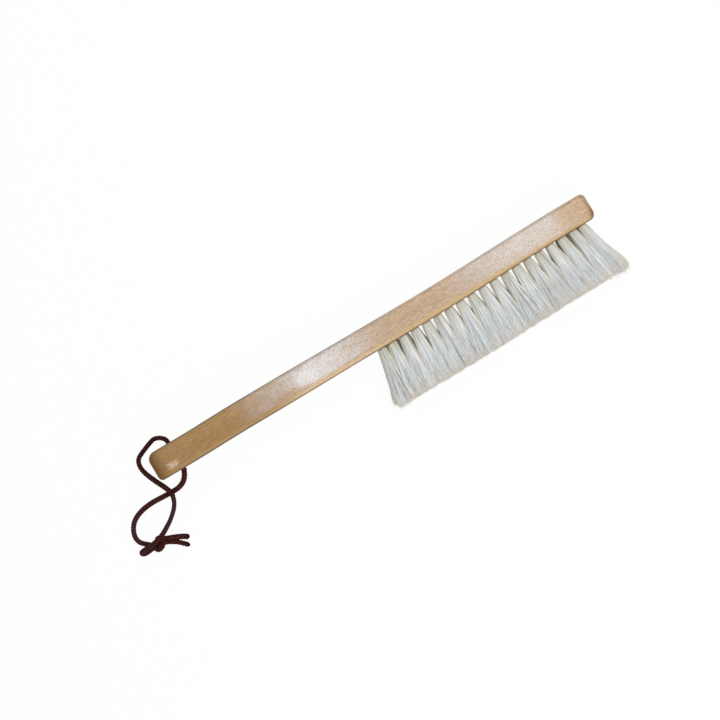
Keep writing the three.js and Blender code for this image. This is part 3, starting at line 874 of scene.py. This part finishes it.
def make_tuft(place, seed, hair, wire):
    draw = np.random.default_rng(seed)
    lines, outward, tone, aside = hair_lines(place, draw)
    count, rings = lines.shape[:2]
    turn = draw.random(count) * 2 * math.pi
    angles = turn[:, None] + np.arange(HAIR_SIDES) * 2 * math.pi / HAIR_SIDES
    round_hair = np.stack([np.cos(angles), np.zeros_like(angles), np.sin(angles)], axis=2)
    share = np.clip(HAIR_DROPS / HAIR_LENGTH, 0, 1)
    radius = HAIR_ROOT_RADIUS + (HAIR_TIP_RADIUS - HAIR_ROOT_RADIUS) * share
    points = lines[:, :, None] + round_hair[:, None] * radius[None, :, None, None]
    starts = np.arange(count)[:, None, None] * rings * HAIR_SIDES
    quads = (tube_faces(rings, HAIR_SIDES)[None] + starts).reshape(-1, 4)
    ends = np.arange(HAIR_SIDES)
    last = (rings - 1) * HAIR_SIDES
    roots = np.arange(count)[:, None] * rings * HAIR_SIDES + ends[::-1][None]
    tips = np.arange(count)[:, None] * rings * HAIR_SIDES + last + ends[None]
    box, box_faces = anchor_box(place)
    box_faces = box_faces + points.size // 3
    box_triangles = np.concatenate([box_faces[:, :3], box_faces[:, [0, 2, 3]]])
    vertices = np.concatenate([points.reshape(-1, 3), box])
    triangles = np.concatenate([roots, tips, box_triangles])
    tuft = fill_mesh(f"hair_{place['name']}", vertices, quads, triangles)
    extra = np.zeros(len(box))
    write_numbers(tuft.data, "along", np.append(np.tile(np.repeat(share, HAIR_SIDES), count), extra))
    write_numbers(tuft.data, "tone", np.append(np.repeat(tone, rings * HAIR_SIDES), extra))
    write_numbers(tuft.data, "aside", np.append(np.repeat(aside, rings * HAIR_SIDES), extra))
    map_hairs(tuft.data, count, rings)
    tuft.data.materials.append(hair)
    tuft.data.materials.append(wire)
    slots = np.zeros(len(tuft.data.polygons), dtype=np.int32)
    slots[-len(box_triangles):] = 1
    tuft.data.polygons.foreach_set("material_index", slots)
    soft = outward[:, :, None] * TUFT_NORMAL + round_hair[:, None] * (1 - TUFT_NORMAL)
    box_normals = (box - box.mean(axis=0)) / np.linalg.norm(box - box.mean(axis=0), axis=1, keepdims=True)
    soft /= np.linalg.norm(soft, axis=3, keepdims=True)
    tuft.data.normals_split_custom_set_from_vertices(np.concatenate([soft.reshape(-1, 3), box_normals]))
    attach(tuft, "brush")
    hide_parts(place["name"])


# Cord
def smooth_line(points, spacing):
    """A centripetal spline through the points, with its own points evenly spaced."""
    points = np.asarray(points, dtype=float)
    ends = 2 * points[[0, -1]] - points[[1, -2]]
    control = np.vstack([ends[:1], points, ends[1:]])
    line = [points[:1]]
    for i in range(len(points) - 1):
        p0, p1, p2, p3 = control[i:i + 4]
        t0 = 0.0
        t1 = t0 + np.linalg.norm(p1 - p0) ** 0.5
        t2 = t1 + np.linalg.norm(p2 - p1) ** 0.5
        t3 = t2 + np.linalg.norm(p3 - p2) ** 0.5
        t = np.linspace(t1, t2, SPLINE_STEPS)[1:, None]
        a1 = (t1 - t) / (t1 - t0) * p0 + (t - t0) / (t1 - t0) * p1
        a2 = (t2 - t) / (t2 - t1) * p1 + (t - t1) / (t2 - t1) * p2
        a3 = (t3 - t) / (t3 - t2) * p2 + (t - t2) / (t3 - t2) * p3
        b1 = (t2 - t) / (t2 - t0) * a1 + (t - t0) / (t2 - t0) * a2
        b2 = (t3 - t) / (t3 - t1) * a2 + (t - t1) / (t3 - t1) * a3
        line.append((t2 - t) / (t2 - t1) * b1 + (t - t1) / (t2 - t1) * b2)
    line = np.concatenate(line)
    run = np.concatenate([[0], np.cumsum(np.linalg.norm(np.diff(line, axis=0), axis=1))])
    even = np.linspace(0, run[-1], int(run[-1] / spacing) + 1)
    return np.stack([np.interp(even, run, line[:, k]) for k in range(3)], axis=1), even


def square_to(line):
    """Two directions square to the line at each point, turning no more than the line does."""
    ahead = np.gradient(line, axis=0)
    ahead /= np.linalg.norm(ahead, axis=1, keepdims=True)
    side = np.empty_like(ahead)
    first = np.array([0.0, 0.0, 1.0])
    side[0] = first - ahead[0] * (first @ ahead[0])
    for i in range(1, len(line)):
        side[i] = side[i - 1] - ahead[i] * (side[i - 1] @ ahead[i])
        side[i] /= np.linalg.norm(side[i])
    side[0] /= np.linalg.norm(side[0])
    return side, np.cross(ahead, side)


def tube_points(centres, out, across, high, wide, sides):
    angles = np.arange(sides) * 2 * math.pi / sides
    ring = np.cos(angles)[None, :, None] * out[:, None] * high
    ring = ring + np.sin(angles)[None, :, None] * across[:, None] * wide
    return centres[:, None] + ring


def braid_parts(line, run, grown):
    """The yarns of a plain round braid, half of them each way, and the core that they cover."""
    side, up = square_to(line)
    parts = []
    middle = (CORD_RADIUS - YARN_LAYER) * grown
    closing = np.clip((run[-1] - run) / CORD_RADIUS, 0, 1)
    tuck = np.sqrt(1 - (1 - closing) ** 2)
    for way in (1, -1):
        for yarn in range(YARNS_PER_WAY):
            angle = way * 2 * math.pi * (run / BRAID_PITCH + yarn / YARNS_PER_WAY)
            weave = way * YARN_WEAVE * np.cos(2 * YARNS_PER_WAY * math.pi * run / BRAID_PITCH)
            out = np.cos(angle)[:, None] * side + np.sin(angle)[:, None] * up
            centres = line + out * ((middle + weave) * tuck)[:, None]
            heading = np.gradient(centres, axis=0)
            across = np.cross(heading, out)
            across /= np.linalg.norm(across, axis=1, keepdims=True)
            wide = across * grown[:, None]
            parts.append(tube_points(centres, out, wide, YARN_HIGH, YARN_WIDE, YARN_SIDES))
    core = CORE_RADIUS * grown[:, None]
    parts.append(tube_points(line, side * core, up * core, 1, 1, CORE_SIDES))
    return parts


def make_cord(name, route, swell, nodes, material):
    places = np.array(route) * MM + np.array([CORD_HOLE_X, 0, 0])
    line, run = smooth_line(places, CORD_STEP)
    shares, thickness = np.transpose(swell)
    grown = np.interp(run / run[-1], shares, thickness)
    parts = braid_parts(line, run, grown)
    inner = CORE_RADIUS * grown
    outer = (CORD_RADIUS - YARN_LAYER) * grown + YARN_LAYER
    vertices, quads, ends, crown = [], [], [], []
    start = 0
    for part in parts:
        rings, sides = part.shape[:2]
        vertices.append(part.reshape(-1, 3))
        quads.append(tube_faces(rings, sides, start))
        last = start + (rings - 1) * sides
        for i in range(1, sides - 1):
            ends.append((start, start + i + 1, start + i))
            ends.append((last, last + i, last + i + 1))
        reach = np.linalg.norm(part - line[:, None], axis=2)
        share = (reach - inner[:, None]) / (outer - inner)[:, None]
        crown.append(np.clip(share.reshape(-1), 0, 1))
        start += rings * sides
    cord = fill_mesh(name, np.concatenate(vertices), np.concatenate(quads), np.array(ends))
    write_numbers(cord.data, "crown", np.concatenate(crown))
    cord.data.materials.append(material)
    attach(cord, "hanging_cord")
    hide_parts(*nodes)


def make_cords():
    material = cord_material()
    upper_nodes = ("cord_upper", "cord_tail_lower")
    lower_nodes = ("cord_lower", "cord_tail_upper", "cord_knot")
    make_cord("upper_strand", UPPER_ROUTE + UPPER_KNOT, UPPER_SWELL, upper_nodes, material)
    make_cord("lower_strand", LOWER_ROUTE + LOWER_KNOT, LOWER_SWELL, lower_nodes, material)


# Floor, world and lights
def background_share(tree):
    """1 for what the camera, a gloss or clear glass sees of the background."""
    path = add_node(tree, "ShaderNodeLightPath")
    seen = maths(tree, "MAXIMUM", path.outputs["Is Camera Ray"], path.outputs["Is Glossy Ray"])
    return maths(tree, "MAXIMUM", seen, path.outputs["Is Transmission Ray"])


def make_floor():
    signs = [(-1, -1), (1, -1), (1, 1), (-1, 1)]
    corners = [(x * FLOOR_SIZE, y * FLOOR_SIZE, -FLOOR_DROP) for x, y in signs]
    floor = new_object("floor", corners, [[0, 1, 2, 3]])
    material, tree, shader = new_material("white_floor")
    feed(tree, shader, Base_Color=FLOOR_WHITE, Roughness=1.0, Specular_IOR_Level=0.0)
    glow = add_node(tree, "ShaderNodeEmission")
    feed(tree, glow, Strength=1.0)
    mix = add_node(tree, "ShaderNodeMixShader")
    share = product(tree, background_share(tree), FLOOR_GLOW)
    tree.links.new(share, mix.inputs["Fac"])
    tree.links.new(shader.outputs["BSDF"], mix.inputs[1])
    tree.links.new(glow.outputs["Emission"], mix.inputs[2])
    tree.links.new(mix.outputs["Shader"], tree.nodes["Material Output"].inputs["Surface"])
    floor.data.materials.append(material)


def make_world():
    world = bpy.data.worlds.new("studio")
    world.use_nodes = True
    tree = world.node_tree
    sky = tree.nodes["Background"]
    sky.inputs["Color"].default_value = (1, 1, 1, 1)
    strength = stepped(tree, background_share(tree), 0.0, 1.0, SKY_LIGHT, 1.0)
    tree.links.new(strength, sky.inputs["Strength"])
    bpy.context.scene.world = world


def add_lamp(name, place, aim, size, power):
    data = bpy.data.lights.new(name, "AREA")
    data.shape = "DISK"
    data.size = size
    data.energy = power
    lamp = bpy.data.objects.new(name, data)
    lamp.location = place
    lamp.rotation_mode = "QUATERNION"
    lamp.rotation_quaternion = (Vector(aim) - Vector(place)).to_track_quat("-Z", "Y")
    bpy.context.scene.collection.objects.link(lamp)


def make_lights():
    for lamp in LAMPS:
        add_lamp(*lamp)


make_camera()
make_cords()
all_places = tuft_places()
make_handle(all_places)
hair_look = hair_material()
wire_look = anchor_material()
for index, tuft_place in enumerate(all_places):
    make_tuft(tuft_place, index, hair_look, wire_look)
make_floor()
make_world()
make_lights()
bpy.context.scene.view_settings.view_transform = "Standard"
